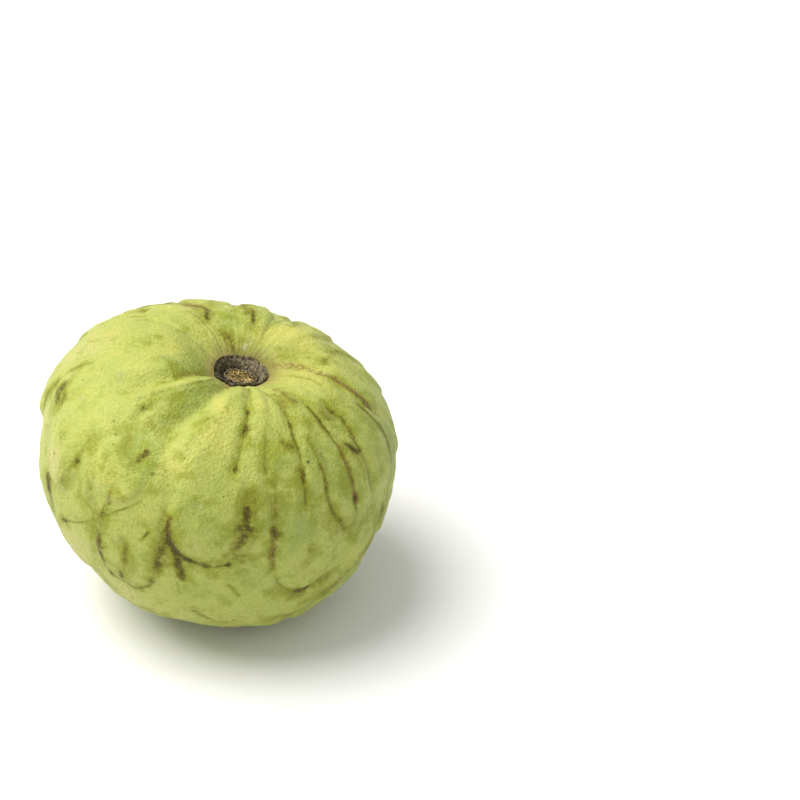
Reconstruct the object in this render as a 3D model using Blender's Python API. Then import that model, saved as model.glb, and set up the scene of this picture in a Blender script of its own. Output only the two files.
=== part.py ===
"""Whole cherimoya, resting on its small flat spot: a fruit body with shallow scale pads and a woody stem stub.

Units are metres, +Z is up, and the stub faces up and to the right. Directions on the fruit are given as a
longitude (0 faces -Y, the front, and grows towards +X) and a colatitude counted from the stem's axis.
"""
import bpy
import numpy as np

for item in list(bpy.data.objects):
    bpy.data.objects.remove(item)

# Overall body, metres
HALF_WIDTH = 0.0495
TOP_HEIGHT = 0.0317
BOTTOM_HEIGHT = 0.0480
TOP_SQUARENESS = 2.4
BOTTOM_SQUARENESS = 2.25
STEM_OFF_BODY_AXIS = 7.0
STEM_LEAN_BACK = 3.0
STEM_LEAN_RIGHT = 17.0
FLAT_CUT = 0.0012
FLAT_CALM_RADIUS = 0.020

# Stem hollow
HOLLOW_DEPTH = 0.0110
HOLLOW_DEEPER_IN_FRONT = 0.0007
WELL_DEPTH = 0.0028
WELL_RADIUS = 0.0081
HOLLOW_RIM = 0.0255
HOLLOW_FLARE = 1.7
HOLLOW_REACH = 75.0

# Seat of the stub, and the stub in it
SEAT_RADIUS = 0.0054
SEAT_FLOOR = 0.0150
SEAT_TAPER = 0.0012
CLEARANCE = 0.0003

# Skin relief
NOMINAL_RADIUS = 0.0480
SPIRAL_ANGLE = 137.508
SPIRAL_COUNT = 84
SPIRAL_HIGHEST = 52.0
SPIRAL_SHIFT_DOWN = 2.5
SPIRAL_SHIFT_ROUND = 3.5
SPIRAL_HALF_WIDTH = 0.0098
SPIRAL_WIDTH_VARIES = 0.0010
SPIRAL_NARROWING = 0.38
SPIRAL_CAP = 0.0115
SPIRAL_LENGTH = 0.0260
SPIRAL_HEIGHT = 0.0012
SPIRAL_HEIGHT_VARIES = 0.0002
PAD_EDGE = 0.0030
SEED = 12

# Mesh density
SEGMENTS = 100
RING_STEP_STEM = 2.2
RING_STEP_BODY = 3.9
RINGS_CHANGE = 60.0

# Looks of the two pieces
SKIN_COLOUR = (0.40, 0.47, 0.10)
SKIN_ROUGHNESS = 0.55
STUB_COLOUR = (0.16, 0.11, 0.06)
STUB_ROUGHNESS = 0.85

# Broad bulges and dents: longitude, colatitude, spread in degrees, height in metres
BULGES = [
    (-58, 136, 22, -0.0015),
    (64, 112, 15, 0.0010),
    (-98, 92, 12, 0.0004),
    (84, 84, 34, 0.0005),
    (-90, 98, 40, -0.0005),
    (36, 128, 20, 0.0018),
    (-116, 66, 17, 0.0009),
    (-72, 112, 12, 0.0008),
]

# Folds of the shoulder: half width, height, points as longitude and colatitude
FOLDS = [
    (0.0028, 0.0022, [(-31, 22), (-29, 30), (-29, 36), (-33, 40), (-38, 46), (-42, 52), (-46, 60)]),
    (0.0042, -0.0030, [(-62, 18), (-58, 28), (-54, 36), (-53, 44), (-57, 52)]),
    (0.0040, -0.0027, [(-17, 20), (-18, 32), (-20, 42), (-23, 50), (-28, 62)]),
    (0.0042, 0.0009, [(-8, 18), (-8, 30), (-14, 46), (-14, 68)]),
    (0.0014, -0.0006, [(9, 22), (6.5, 33), (4, 42), (3.5, 49), (2.2, 58), (1.6, 66)]),
    (0.0024, 0.0005, [(15, 20), (13, 34), (11, 50)]),
    (0.0015, -0.0005, [(20, 26), (25, 37), (26.3, 48), (27, 60), (28, 73)]),
    (0.0026, 0.0004, [(32, 22), (34, 34), (36, 48)]),
    (0.0015, -0.0004, [(40, 28), (43.5, 41), (44.3, 51), (47, 60), (49, 76)]),
    (0.0016, -0.0004, [(12, 52), (13, 66), (17, 79)]),
    (0.0018, -0.0004, [(60, 24), (57, 40), (56, 58), (59, 74)]),
    (0.0026, 0.0005, [(74, 22), (72, 36), (70, 52)]),
    (0.0020, -0.0006, [(97, 20), (92, 30), (84, 40), (83, 56)]),
    (0.0022, -0.0005, [(122, 22), (120, 46), (116, 58)]),
    (0.0024, -0.0005, [(158, 24), (162, 40), (165, 52)]),
    (0.0024, -0.0005, [(-162, 24), (-158, 40), (-154, 52)]),
    (0.0026, -0.0006, [(-118, 24), (-119, 48), (-121, 62)]),
    (0.0022, -0.0004, [(-88, 40), (-87, 70), (-88, 88)]),
    (0.0030, 0.0004, [(138, 26), (140, 50)]),
    (0.0030, 0.0003, [(-178, 26), (178, 46)]),
    (0.0032, 0.0005, [(-138, 26), (-138, 54)]),
]

# Pads on the front: tip longitude, tip colatitude, half width, cap length, full length, height, metres
PADS = [
    (-4.5, 100, 0.0102, 0.0105, 0.030, 0.0013),
    (-26, 122, 0.0098, 0.0120, 0.030, 0.0013),
    (-61, 106, 0.0082, 0.0120, 0.030, 0.0011),
    (34, 109, 0.0095, 0.0130, 0.034, 0.0011),
    (48, 86, 0.0088, 0.0110, 0.030, 0.0010),
    (67, 79, 0.0075, 0.0090, 0.026, 0.0010),
    (12, 90, 0.0050, 0.0090, 0.030, 0.0006),
    (-36, 93, 0.0095, 0.0110, 0.028, 0.0011),
    (-52, 78, 0.0085, 0.0100, 0.026, 0.0009),
    (-33, 73, 0.0070, 0.0090, 0.024, 0.0006),
    (14, 127, 0.0100, 0.0110, 0.030, 0.0011),
    (33, 131, 0.0085, 0.0100, 0.028, 0.0010),
    (-8, 137, 0.0095, 0.0110, 0.030, 0.0010),
    (60, 108, 0.0085, 0.0110, 0.030, 0.0010),
    (-81, 84, 0.0085, 0.0110, 0.028, 0.0011),
    (78, 101, 0.0090, 0.0110, 0.030, 0.0010),
    (-50, 132, 0.0090, 0.0100, 0.028, 0.0010),
    (52, 130, 0.0085, 0.0100, 0.028, 0.0010),
]
PLACED_HALF_SPAN = 88.0
PLACED_LOWEST = 126.0
CLEAR_OF_PLACED = 15.0

# Woody stub, radii from the stem's axis
STUB_FOOT_RADIUS = 0.0040
STUB_NECK_RADIUS = 0.00505
STUB_COLLAR_RADIUS = 0.0074
STUB_LIP_WIDTH = 0.0005
STUB_GROOVE_RADIUS = 0.0048
STUB_RING_RADIUS = 0.0044
STUB_DISC_RADIUS = 0.0039
STUB_LIP_RISE = 0.0004
STUB_COLLAR_GAP = 0.0004
STUB_WALL_GAP = 0.00065
STUB_GROOVE_DEPTH = 0.0004
STUB_DISC_RISE = 0.0009
STUB_FACE_SLANT = 0.11
STUB_FACE_ASIDE = 0.0003
STUB_FACE_AHEAD = 0.0007
STUB_SEGMENTS = 48
FOLD_CALM_INNER = 0.0080
FOLD_CALM_OUTER = 0.0118


def degrees_apart(longitude, centre):
    """Signed difference of longitude from a centre, degrees within +-180."""
    return (np.degrees(longitude) - centre + 180) % 360 - 180


def direction(longitude, colatitude):
    """Unit vector in the stem's frame: colatitude from +Z, longitude 0 towards -Y."""
    level = np.sin(colatitude)
    return np.stack([level * np.sin(longitude), -level * np.cos(longitude), np.cos(colatitude)], -1)


def tilt(back, right):
    """Rotation that leans the Z axis back (+Y) and then to the right (+X), degrees."""
    a, b = np.radians(-back), np.radians(right)
    about_x = np.array([[1, 0, 0], [0, np.cos(a), -np.sin(a)], [0, np.sin(a), np.cos(a)]])
    about_y = np.array([[np.cos(b), 0, np.sin(b)], [0, 1, 0], [-np.sin(b), 0, np.cos(b)]])
    return about_y @ about_x


def smooth(value):
    """Cubic step from 0 to 1."""
    t = np.clip(value, 0, 1)
    return t * t * (3 - 2 * t)


def body_radius(way):
    """Superellipse of revolution: (across/a)^n + (up/c)^n = 1, with a lower c and its own n on top."""
    turned = way @ tilt(0, STEM_OFF_BODY_AXIS).T
    upper = turned[..., 2] > 0
    height = np.where(upper, TOP_HEIGHT, BOTTOM_HEIGHT)
    power = np.where(upper, TOP_SQUARENESS, BOTTOM_SQUARENESS)
    across = np.hypot(turned[..., 0], turned[..., 1]) / HALF_WIDTH
    return (across**power + np.abs(turned[..., 2] / height)**power)**(-1 / power)


def hollow_depth(longitude, reach):
    """Depth of the stem hollow at a distance from its axis: D (1 - t)^f, with a steep well at its middle."""
    t = np.clip((reach - SEAT_RADIUS) / (HOLLOW_RIM - SEAT_RADIUS), 0, 1)
    wide = (HOLLOW_DEPTH + HOLLOW_DEEPER_IN_FRONT * np.cos(longitude)) * (1 - t)**HOLLOW_FLARE
    well = WELL_DEPTH * (1 - smooth((reach - SEAT_RADIUS) / (WELL_RADIUS - SEAT_RADIUS)))
    return wide + well


def bulge_height(way):
    """Sum of bells h exp(-(angle/spread)^2)."""
    total = np.zeros(way.shape[:-1])
    for longitude, colatitude, spread, height in BULGES:
        centre = direction(np.radians(longitude), np.radians(colatitude))
        angle = np.degrees(np.arccos(np.clip(way @ centre, -1, 1)))
        total += height * np.exp(-(angle / spread)**2)
    return total


def path_distance(way, points):
    """Distance from each direction to a path through the given points, metres on the nominal sphere."""
    corners = [direction(np.radians(lon), np.radians(col)) for lon, col in points]
    nearest = np.full(way.shape[:-1], 9.0)
    for start, end in zip(corners[:-1], corners[1:]):
        step = end - start
        t = np.clip((way - start) @ step / (step @ step), 0, 1)
        nearest = np.minimum(nearest, np.linalg.norm(way - start - t[..., None] * step, axis=-1))
    return nearest * NOMINAL_RADIUS


def fold_height(way):
    """Sum of rounded ridges and valleys h exp(-(distance/width)^2) along the folds' paths."""
    total = np.zeros(way.shape[:-1])
    for width, height, points in FOLDS:
        total += height * np.exp(-(path_distance(way, points) / width)**2)
    return total


def all_pads():
    """The placed pads, then a golden angle spiral of pads on the sides that are not placed by hand."""
    chance = np.random.default_rng(SEED)
    pads = list(PADS)
    placed = [direction(np.radians(pad[0]), np.radians(pad[1])) for pad in PADS]
    for index in range(SPIRAL_COUNT):
        shift = chance.uniform(-1, 1, 4)
        level = 1 - 2 * (index + 0.5) / SPIRAL_COUNT
        colatitude = np.degrees(np.arccos(level)) + SPIRAL_SHIFT_DOWN * shift[0]
        longitude = (index * SPIRAL_ANGLE + SPIRAL_SHIFT_ROUND * shift[1] + 180) % 360 - 180
        if colatitude < SPIRAL_HIGHEST:
            continue
        if abs(longitude) < PLACED_HALF_SPAN and colatitude < PLACED_LOWEST:
            continue
        here = direction(np.radians(longitude), np.radians(colatitude))
        if max(here @ other for other in placed) > np.cos(np.radians(CLEAR_OF_PLACED)):
            continue
        narrowing = 1 - SPIRAL_NARROWING * (1 - np.sin(np.radians(colatitude)))
        half_width = (SPIRAL_HALF_WIDTH + SPIRAL_WIDTH_VARIES * shift[2]) * narrowing
        height = SPIRAL_HEIGHT + SPIRAL_HEIGHT_VARIES * shift[3]
        pads.append((longitude, colatitude, half_width, SPIRAL_CAP * narrowing, SPIRAL_LENGTH, height))
    return pads


def pad_height(longitude, colatitude):
    """Highest of all pads. A pad is a tongue: half an ellipse at the tip, then two meridians towards the stem.

    It rises over PAD_EDGE from its outline and fades out along its length, so each one laps over the next.
    """
    best = np.zeros(longitude.shape)
    for tip_lon, tip_col, half_width, cap, length, height in all_pads():
        across = np.radians(degrees_apart(longitude, tip_lon)) * NOMINAL_RADIUS * np.sin(np.radians(tip_col))
        along = (np.radians(tip_col) - colatitude) * NOMINAL_RADIUS
        q = np.abs(across) / half_width
        behind = np.clip((cap - along) / cap, 0, None)
        inside = (1 - np.hypot(q, behind)) * half_width
        fade = smooth(1.15 - np.clip(along, 0, None) / length)
        best = np.maximum(best, height * smooth(inside / PAD_EDGE) * fade)
    return best


def skin_points(longitude, colatitude):
    """Points of the skin in the stem's frame: body radius less the hollow, plus folds, bulges and pads."""
    way = direction(longitude, colatitude)
    radius = body_radius(way)
    reach = radius * np.sin(colatitude)
    near_stem = colatitude < np.radians(HOLLOW_REACH)
    radius = radius - near_stem * hollow_depth(longitude, reach) / np.maximum(np.cos(colatitude), 0.3)
    down = way @ (tilt(STEM_LEAN_BACK, STEM_LEAN_RIGHT).T @ np.array([0, 0, -1.0]))
    off_flat = np.arccos(np.clip(down, -1, 1)) * NOMINAL_RADIUS
    calm = smooth((off_flat - 0.35 * FLAT_CALM_RADIUS) / (0.65 * FLAT_CALM_RADIUS))
    clear_of_seat = smooth((reach - FOLD_CALM_INNER) / (FOLD_CALM_OUTER - FOLD_CALM_INNER))
    relief = fold_height(way) * clear_of_seat + pad_height(longitude, colatitude) * calm
    radius = radius + bulge_height(way) + relief
    return way * radius[..., None]


def skin_level(longitude, reach):
    """Height of the skin along the stem's axis, at a distance from that axis near the seat."""
    colatitude = np.full(longitude.shape, np.arctan2(reach, SEAT_FLOOR))
    for _ in range(12):
        point = skin_points(longitude, colatitude)
        colatitude = np.arctan2(reach, point[..., 2])
    return point[..., 2]


def stub_rings(longitude):
    """Rings of the stub: a tapered plug, a collar that lines the well, a groove and a cut face."""
    ragged = 0.45 * np.sin(5 * longitude + 0.6) + 0.35 * np.sin(9 * longitude + 2.1)
    ragged = (ragged + 0.25 * np.sin(14 * longitude + 4.0)) / 1000
    even = np.zeros(longitude.shape)
    edge = skin_level(longitude, SEAT_RADIUS)
    lower_wall = skin_level(longitude, SEAT_RADIUS + 0.3 * (STUB_COLLAR_RADIUS - SEAT_RADIUS))
    upper_wall = skin_level(longitude, SEAT_RADIUS + 0.7 * (STUB_COLLAR_RADIUS - SEAT_RADIUS))
    collar = skin_level(longitude, STUB_COLLAR_RADIUS) + STUB_COLLAR_GAP
    lip = collar + STUB_LIP_RISE + 0.3 * ragged
    slant = STUB_FACE_SLANT * (np.cos(longitude) + np.sin(longitude))
    aside = STUB_FACE_ASIDE * np.sin(longitude) + STUB_FACE_AHEAD * np.cos(longitude)
    face = edge.mean() + STUB_DISC_RISE
    groove = face + slant * STUB_GROOVE_RADIUS - STUB_GROOVE_DEPTH
    profile = [
        (even + STUB_FOOT_RADIUS, even + SEAT_FLOOR + CLEARANCE),
        (even + STUB_NECK_RADIUS, edge + 0.2 * CLEARANCE),
        (even + SEAT_RADIUS + 0.3 * (STUB_COLLAR_RADIUS - SEAT_RADIUS), lower_wall + STUB_WALL_GAP),
        (even + SEAT_RADIUS + 0.7 * (STUB_COLLAR_RADIUS - SEAT_RADIUS), upper_wall + STUB_WALL_GAP),
        (even + STUB_COLLAR_RADIUS, collar),
        (STUB_COLLAR_RADIUS + 0.2 * ragged, lip),
        (STUB_COLLAR_RADIUS - STUB_LIP_WIDTH + 0.1 * ragged, lip + 0.1 * ragged),
        (0.5 * STUB_COLLAR_RADIUS + 0.5 * STUB_GROOVE_RADIUS + 0.1 * ragged, 0.55 * lip + 0.45 * groove),
        (STUB_GROOVE_RADIUS + 0.2 * ragged + aside, groove + even),
        (STUB_RING_RADIUS + 0.2 * ragged + aside, face + slant * STUB_RING_RADIUS + 0.0002 + 0.2 * ragged),
        (STUB_DISC_RADIUS + 0.2 * ragged + aside, face + slant * STUB_DISC_RADIUS - 0.0001 + 0.1 * ragged),
        (0.5 * STUB_DISC_RADIUS + 0.2 * ragged + aside, face + slant * 0.5 * STUB_DISC_RADIUS - 0.3 * ragged),
        (0.15 * STUB_DISC_RADIUS + 0.1 * ragged + aside, face + even - 0.0002),
    ]
    sine, cosine = np.sin(longitude), np.cos(longitude)
    return np.array([np.stack([radius * sine, -radius * cosine, level], -1) for radius, level in profile])


def ring_mesh(rings, top, bottom):
    """Vertices and faces of a closed surface from rings of equal length, closed by two pole points."""
    count = rings.shape[1]
    vertices = np.vstack([rings.reshape(-1, 3), top, bottom])
    first, last = len(vertices) - 2, len(vertices) - 1
    here = np.arange(count)
    after = (here + 1) % count
    faces = [(first, int(a), int(b)) for a, b in zip(here, after)]
    for ring in range(len(rings) - 1):
        low, high = ring * count, (ring + 1) * count
        faces += [(int(low + a), int(high + a), int(high + b), int(low + b)) for a, b in zip(here, after)]
    base = (len(rings) - 1) * count
    faces += [(last, int(base + b), int(base + a)) for a, b in zip(here, after)]
    return vertices, faces


def add_object(name, vertices, faces, material):
    """One named, smooth shaded object with its material, at the world origin."""
    mesh = bpy.data.meshes.new(name)
    mesh.from_pydata(vertices.tolist(), [], faces)
    mesh.update()
    mesh.polygons.foreach_set("use_smooth", [True] * len(mesh.polygons))
    mesh.materials.append(material)
    thing = bpy.data.objects.new(name, mesh)
    bpy.context.collection.objects.link(thing)
    return thing


def plain_material(name, colour, roughness):
    """Principled material with one colour and one roughness."""
    material = bpy.data.materials.new(name)
    material.use_nodes = True
    shader = material.node_tree.nodes["Principled BSDF"]
    shader.inputs["Base Color"].default_value = (*colour, 1.0)
    shader.inputs["Roughness"].default_value = roughness
    return material


lean = tilt(STEM_LEAN_BACK, STEM_LEAN_RIGHT)

# Fruit: skin rings from the seat's edge to the blossom end, then the seat's wall and floor
turn = np.linspace(-np.pi, np.pi, SEGMENTS, endpoint=False)
seat_edge = np.degrees(np.arctan2(SEAT_RADIUS, skin_level(turn, SEAT_RADIUS).mean()))
near_rings = np.arange(seat_edge, RINGS_CHANGE, RING_STEP_STEM)
far_count = int((180 - RINGS_CHANGE) / RING_STEP_BODY)
far_rings = np.linspace(RINGS_CHANGE, 180, far_count + 1)[:-1]
ring_angles = np.radians(np.concatenate([near_rings, far_rings]))
longitude_grid, colatitude_grid = np.meshgrid(turn, ring_angles)
skin = skin_points(longitude_grid, colatitude_grid)
skin[0] = np.stack([SEAT_RADIUS * np.sin(turn), -SEAT_RADIUS * np.cos(turn), skin_level(turn, SEAT_RADIUS)], -1)
blossom_end = skin_points(np.array([0.0]), np.array([np.pi]))

floor_ratio = (SEAT_RADIUS - SEAT_TAPER) / SEAT_RADIUS
seat_floor_ring = skin[0] * np.array([floor_ratio, floor_ratio, 0]) + np.array([0, 0, SEAT_FLOOR])
fruit_rings = np.concatenate([seat_floor_ring[None], skin]) @ lean.T
seat_middle = np.array([[0, 0, SEAT_FLOOR]]) @ lean.T
fruit_vertices, fruit_faces = ring_mesh(fruit_rings, seat_middle, blossom_end @ lean.T)
lowest = fruit_vertices[:, 2].min() + FLAT_CUT
fruit_vertices[:, 2] = np.maximum(fruit_vertices[:, 2], lowest)

# The middle of the footprint goes to the world origin, with the flat spot on Z = 0
middle = (fruit_vertices.min(0) + fruit_vertices.max(0)) / 2
shift = np.array([-middle[0], -middle[1], -lowest])
fruit_material = plain_material("skin", SKIN_COLOUR, SKIN_ROUGHNESS)
add_object("fruit", fruit_vertices + shift, fruit_faces, fruit_material)

# Stub: its rings run from the foot of the plug to the middle of the cut face
stub_turn = np.linspace(-np.pi, np.pi, STUB_SEGMENTS, endpoint=False)
stub = stub_rings(stub_turn)
stub_foot = np.array([[0, 0, SEAT_FLOOR + CLEARANCE]])
stub_face = np.array([[0, 0, stub[-1, :, 2].mean()]])
stub_vertices, stub_faces = ring_mesh(stub[::-1] @ lean.T, stub_face @ lean.T, stub_foot @ lean.T)
stub_material = plain_material("stem_wood", STUB_COLOUR, STUB_ROUGHNESS)
add_object("stem_stub", stub_vertices + shift, stub_faces, stub_material)
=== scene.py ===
"""Looks of the whole cherimoya: velvety skin with its marks, corky stem stub, floor, lights and camera.

Units are metres and +Z is up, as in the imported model. A place on the fruit is a longitude (0 faces -Y, the
front, and grows towards +X) and a colatitude counted from the stem's axis, both in degrees.
"""

import bpy
import numpy as np
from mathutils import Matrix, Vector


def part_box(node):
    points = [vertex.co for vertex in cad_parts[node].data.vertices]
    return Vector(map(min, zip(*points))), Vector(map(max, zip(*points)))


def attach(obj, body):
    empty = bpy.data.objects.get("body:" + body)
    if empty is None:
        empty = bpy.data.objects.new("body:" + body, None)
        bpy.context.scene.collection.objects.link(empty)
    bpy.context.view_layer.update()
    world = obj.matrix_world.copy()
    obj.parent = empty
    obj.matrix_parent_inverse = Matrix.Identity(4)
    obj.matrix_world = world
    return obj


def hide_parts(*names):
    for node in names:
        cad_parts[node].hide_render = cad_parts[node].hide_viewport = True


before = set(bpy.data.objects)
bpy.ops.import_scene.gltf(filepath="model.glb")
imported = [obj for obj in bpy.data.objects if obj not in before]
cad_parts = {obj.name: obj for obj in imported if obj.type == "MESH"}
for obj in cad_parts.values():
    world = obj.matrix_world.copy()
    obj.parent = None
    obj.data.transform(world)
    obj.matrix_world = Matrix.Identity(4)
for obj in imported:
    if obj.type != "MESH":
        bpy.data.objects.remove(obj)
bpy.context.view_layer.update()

# Fruit
# One fleshy body under a thin, velvety skin. Its shallow scale pads lap over each other towards the blossom
# end, and the shoulder folds into a hollow round the stem.

# Body, hollow and flat spot, the same sizes as the solid they cover
HALF_WIDTH = 0.0495
TOP_HEIGHT = 0.0317
BOTTOM_HEIGHT = 0.0480
TOP_SQUARENESS = 2.4
BOTTOM_SQUARENESS = 2.25
STEM_OFF_BODY_AXIS = 7.0
STEM_LEAN_BACK = 3.0
STEM_LEAN_RIGHT = 17.0
FLAT_CUT = 0.0012
FLAT_CALM_RADIUS = 0.020
HOLLOW_DEPTH = 0.0110
HOLLOW_DEEPER_IN_FRONT = 0.0007
WELL_DEPTH = 0.0028
WELL_RADIUS = 0.0081
HOLLOW_RIM = 0.0255
HOLLOW_FLARE = 1.7
HOLLOW_REACH = 75.0
SEAT_RADIUS = 0.0054
SEAT_FLOOR = 0.0150
SEAT_TAPER = 0.0012
FOLD_CALM_INNER = 0.0080
FOLD_CALM_OUTER = 0.0118
NOMINAL_RADIUS = 0.0480

# Broad bulges and dents: longitude, colatitude, spread in degrees, height
BULGES = [
    (-58, 136, 22, -0.0015),
    (64, 112, 15, 0.0010),
    (-98, 92, 12, 0.0004),
    (84, 84, 34, 0.0005),
    (-90, 98, 40, -0.0005),
    (36, 128, 20, 0.0018),
    (-116, 66, 17, 0.0009),
    (-72, 112, 12, 0.0008),
]

# Ridges and valleys of the shoulder: half width, height, path
FOLDS = [
    (0.0028, 0.0022, [(-29, 29), (-29, 36), (-33, 40), (-38, 46), (-42, 52), (-46, 60)]),
    (0.0042, -0.0030, [(-62, 18), (-58, 28), (-54, 36), (-53, 44), (-57, 52)]),
    (0.0040, -0.0027, [(-17, 20), (-18, 32), (-20, 42), (-23, 50), (-28, 62)]),
    (0.0042, 0.0009, [(-8, 18), (-8, 30), (-14, 46), (-14, 68)]),
    (0.0014, -0.0006, [(9, 22), (6.5, 33), (4, 42), (3.5, 49), (2.2, 58), (1.6, 66)]),
    (0.0024, 0.0005, [(15, 20), (13, 34), (11, 50)]),
    (0.0015, -0.0005, [(20, 26), (25, 37), (26.3, 48), (27, 60), (28, 73)]),
    (0.0026, 0.0004, [(32, 22), (34, 34), (36, 48)]),
    (0.0015, -0.0004, [(40, 28), (43.5, 41), (44.3, 51), (47, 60), (49, 76)]),
    (0.0016, -0.0004, [(12, 52), (13, 66), (17, 79)]),
    (0.0018, -0.0004, [(60, 24), (57, 40), (56, 58), (59, 74)]),
    (0.0026, 0.0005, [(74, 22), (72, 36), (70, 52)]),
    (0.0020, -0.0006, [(97, 20), (92, 30), (84, 40), (83, 56)]),
    (0.0022, -0.0005, [(122, 22), (120, 46), (116, 58)]),
    (0.0024, -0.0005, [(158, 24), (162, 40), (165, 52)]),
    (0.0024, -0.0005, [(-162, 24), (-158, 40), (-154, 52)]),
    (0.0026, -0.0006, [(-118, 24), (-119, 48), (-121, 62)]),
    (0.0022, -0.0004, [(-88, 40), (-87, 70), (-88, 88)]),
    (0.0030, 0.0004, [(138, 26), (140, 50)]),
    (0.0030, 0.0003, [(-178, 26), (178, 46)]),
    (0.0032, 0.0005, [(-138, 26), (-138, 54)]),
]

# Pads on the front: tip longitude, tip colatitude, half width, cap length, full length, height
PADS = [
    (-4.5, 100, 0.0102, 0.0105, 0.030, 0.0013),
    (-26, 122, 0.0098, 0.0120, 0.030, 0.0013),
    (-61, 106, 0.0082, 0.0120, 0.030, 0.0011),
    (34, 109, 0.0095, 0.0130, 0.034, 0.0011),
    (48, 86, 0.0088, 0.0110, 0.030, 0.0010),
    (67, 79, 0.0075, 0.0090, 0.026, 0.0010),
    (12, 90, 0.0050, 0.0090, 0.030, 0.0006),
    (-36, 93, 0.0095, 0.0110, 0.028, 0.0011),
    (-52, 78, 0.0085, 0.0100, 0.026, 0.0009),
    (-33, 73, 0.0070, 0.0090, 0.024, 0.0006),
    (14, 127, 0.0100, 0.0110, 0.030, 0.0011),
    (33, 131, 0.0085, 0.0100, 0.028, 0.0010),
    (-8, 137, 0.0095, 0.0110, 0.030, 0.0010),
    (60, 108, 0.0085, 0.0110, 0.030, 0.0010),
    (-81, 84, 0.0085, 0.0110, 0.028, 0.0011),
    (78, 101, 0.0090, 0.0110, 0.030, 0.0010),
    (-50, 132, 0.0090, 0.0100, 0.028, 0.0010),
    (52, 130, 0.0085, 0.0100, 0.028, 0.0010),
]
PLACED_HALF_SPAN = 88.0
PLACED_LOWEST = 126.0
CLEAR_OF_PLACED = 15.0
SPIRAL_ANGLE = 137.508
SPIRAL_COUNT = 84
SPIRAL_HIGHEST = 52.0
SPIRAL_SHIFT_DOWN = 2.5
SPIRAL_SHIFT_ROUND = 3.5
SPIRAL_HALF_WIDTH = 0.0098
SPIRAL_WIDTH_VARIES = 0.0010
SPIRAL_NARROWING = 0.38
SPIRAL_CAP = 0.0115
SPIRAL_LENGTH = 0.0260
SPIRAL_HEIGHT = 0.0012
SPIRAL_HEIGHT_VARIES = 0.0002
PAD_EDGE = 0.0030
SEED = 12

# Edges that lap over what lies on their far side: drop, how soon it evens out, path
LIPS = [
    (0.0014, 0.0040, [(-31, 31), (-31, 36), (-35, 40), (-40, 46), (-44, 52), (-47, 58)]),
    (0.00040, 0.0025, [(1.6, 66), (2.4, 57), (3.7, 48.5), (4.5, 40), (7, 33), (9.5, 24)]),
    (0.00040, 0.0030, [(8, 95.5), (5, 98.5), (0.7, 100.5), (-4.3, 99.5), (-8.3, 98.7), (-12, 95),
                       (-14.4, 90), (-14.5, 86)]),
    (0.00035, 0.0028, [(-13.5, 113), (-15, 116.8), (-17.8, 119.8), (-22, 121.8), (-28, 122),
                       (-32, 119), (-34.3, 112.5),
                       (-37, 107)]),
    (0.00035, 0.0026, [(48.5, 101.5), (42.5, 104), (36.5, 107.8), (29.6, 106), (24.7, 101.5),
                       (20.4, 91.5)]),
    (0.00030, 0.0026, [(-66, 105), (-61, 106), (-57.5, 99.5), (-54.5, 92.5), (-53.5, 87.5), (-52, 78)]),
    (0.00030, 0.0024, [(60, 80), (54, 87), (48.3, 87), (42.2, 81), (38.8, 77.3), (36.3, 67)]),
]
LIP_SHARPNESS = 0.0008

# Unevenness of the flesh below the skin, and pleats that run out of the hollow
WAVE_COUNT = 56
WAVE_LONGEST = 0.016
WAVE_SHORTEST = 0.0035
WAVE_HEIGHT = 0.000030
PLEAT_HEIGHT = 0.00007
PLEAT_COUNTS = (17, 26, 37, 53)
PLEAT_REACH = 0.026

# Mesh
SEGMENTS = 420
RINGS = 228


def degrees_apart(longitude, centre):
    """Signed difference of longitude from a centre, degrees within +-180."""
    return (np.degrees(longitude) - centre + 180) % 360 - 180


def direction(longitude, colatitude):
    """Unit vector in the stem's frame: colatitude from +Z, longitude 0 towards -Y."""
    level = np.sin(colatitude)
    return np.stack([level * np.sin(longitude), -level * np.cos(longitude), np.cos(colatitude)], -1)


def tilt(back, right):
    """Rotation that leans the Z axis back (+Y) and then to the right (+X), degrees."""
    a, b = np.radians(-back), np.radians(right)
    about_x = np.array([[1, 0, 0], [0, np.cos(a), -np.sin(a)], [0, np.sin(a), np.cos(a)]])
    about_y = np.array([[np.cos(b), 0, np.sin(b)], [0, 1, 0], [-np.sin(b), 0, np.cos(b)]])
    return about_y @ about_x


def smooth(value):
    """Cubic step from 0 to 1: 3 t^2 - 2 t^3."""
    t = np.clip(value, 0, 1)
    return t * t * (3 - 2 * t)


def body_radius(way):
    """Superellipse of revolution: (across/a)^n + (up/c)^n = 1, with a lower c and its own n on top."""
    turned = way @ tilt(0, STEM_OFF_BODY_AXIS).T
    upper = turned[..., 2] > 0
    height = np.where(upper, TOP_HEIGHT, BOTTOM_HEIGHT)
    power = np.where(upper, TOP_SQUARENESS, BOTTOM_SQUARENESS)
    across = np.hypot(turned[..., 0], turned[..., 1]) / HALF_WIDTH
    return (across**power + np.abs(turned[..., 2] / height)**power)**(-1 / power)


def hollow_depth(longitude, reach):
    """Depth of the stem hollow at a distance from its axis: D (1 - t)^f, with a steep well at its middle."""
    t = np.clip((reach - SEAT_RADIUS) / (HOLLOW_RIM - SEAT_RADIUS), 0, 1)
    wide = (HOLLOW_DEPTH + HOLLOW_DEEPER_IN_FRONT * np.cos(longitude)) * (1 - t)**HOLLOW_FLARE
    well = WELL_DEPTH * (1 - smooth((reach - SEAT_RADIUS) / (WELL_RADIUS - SEAT_RADIUS)))
    return wide + well


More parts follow.
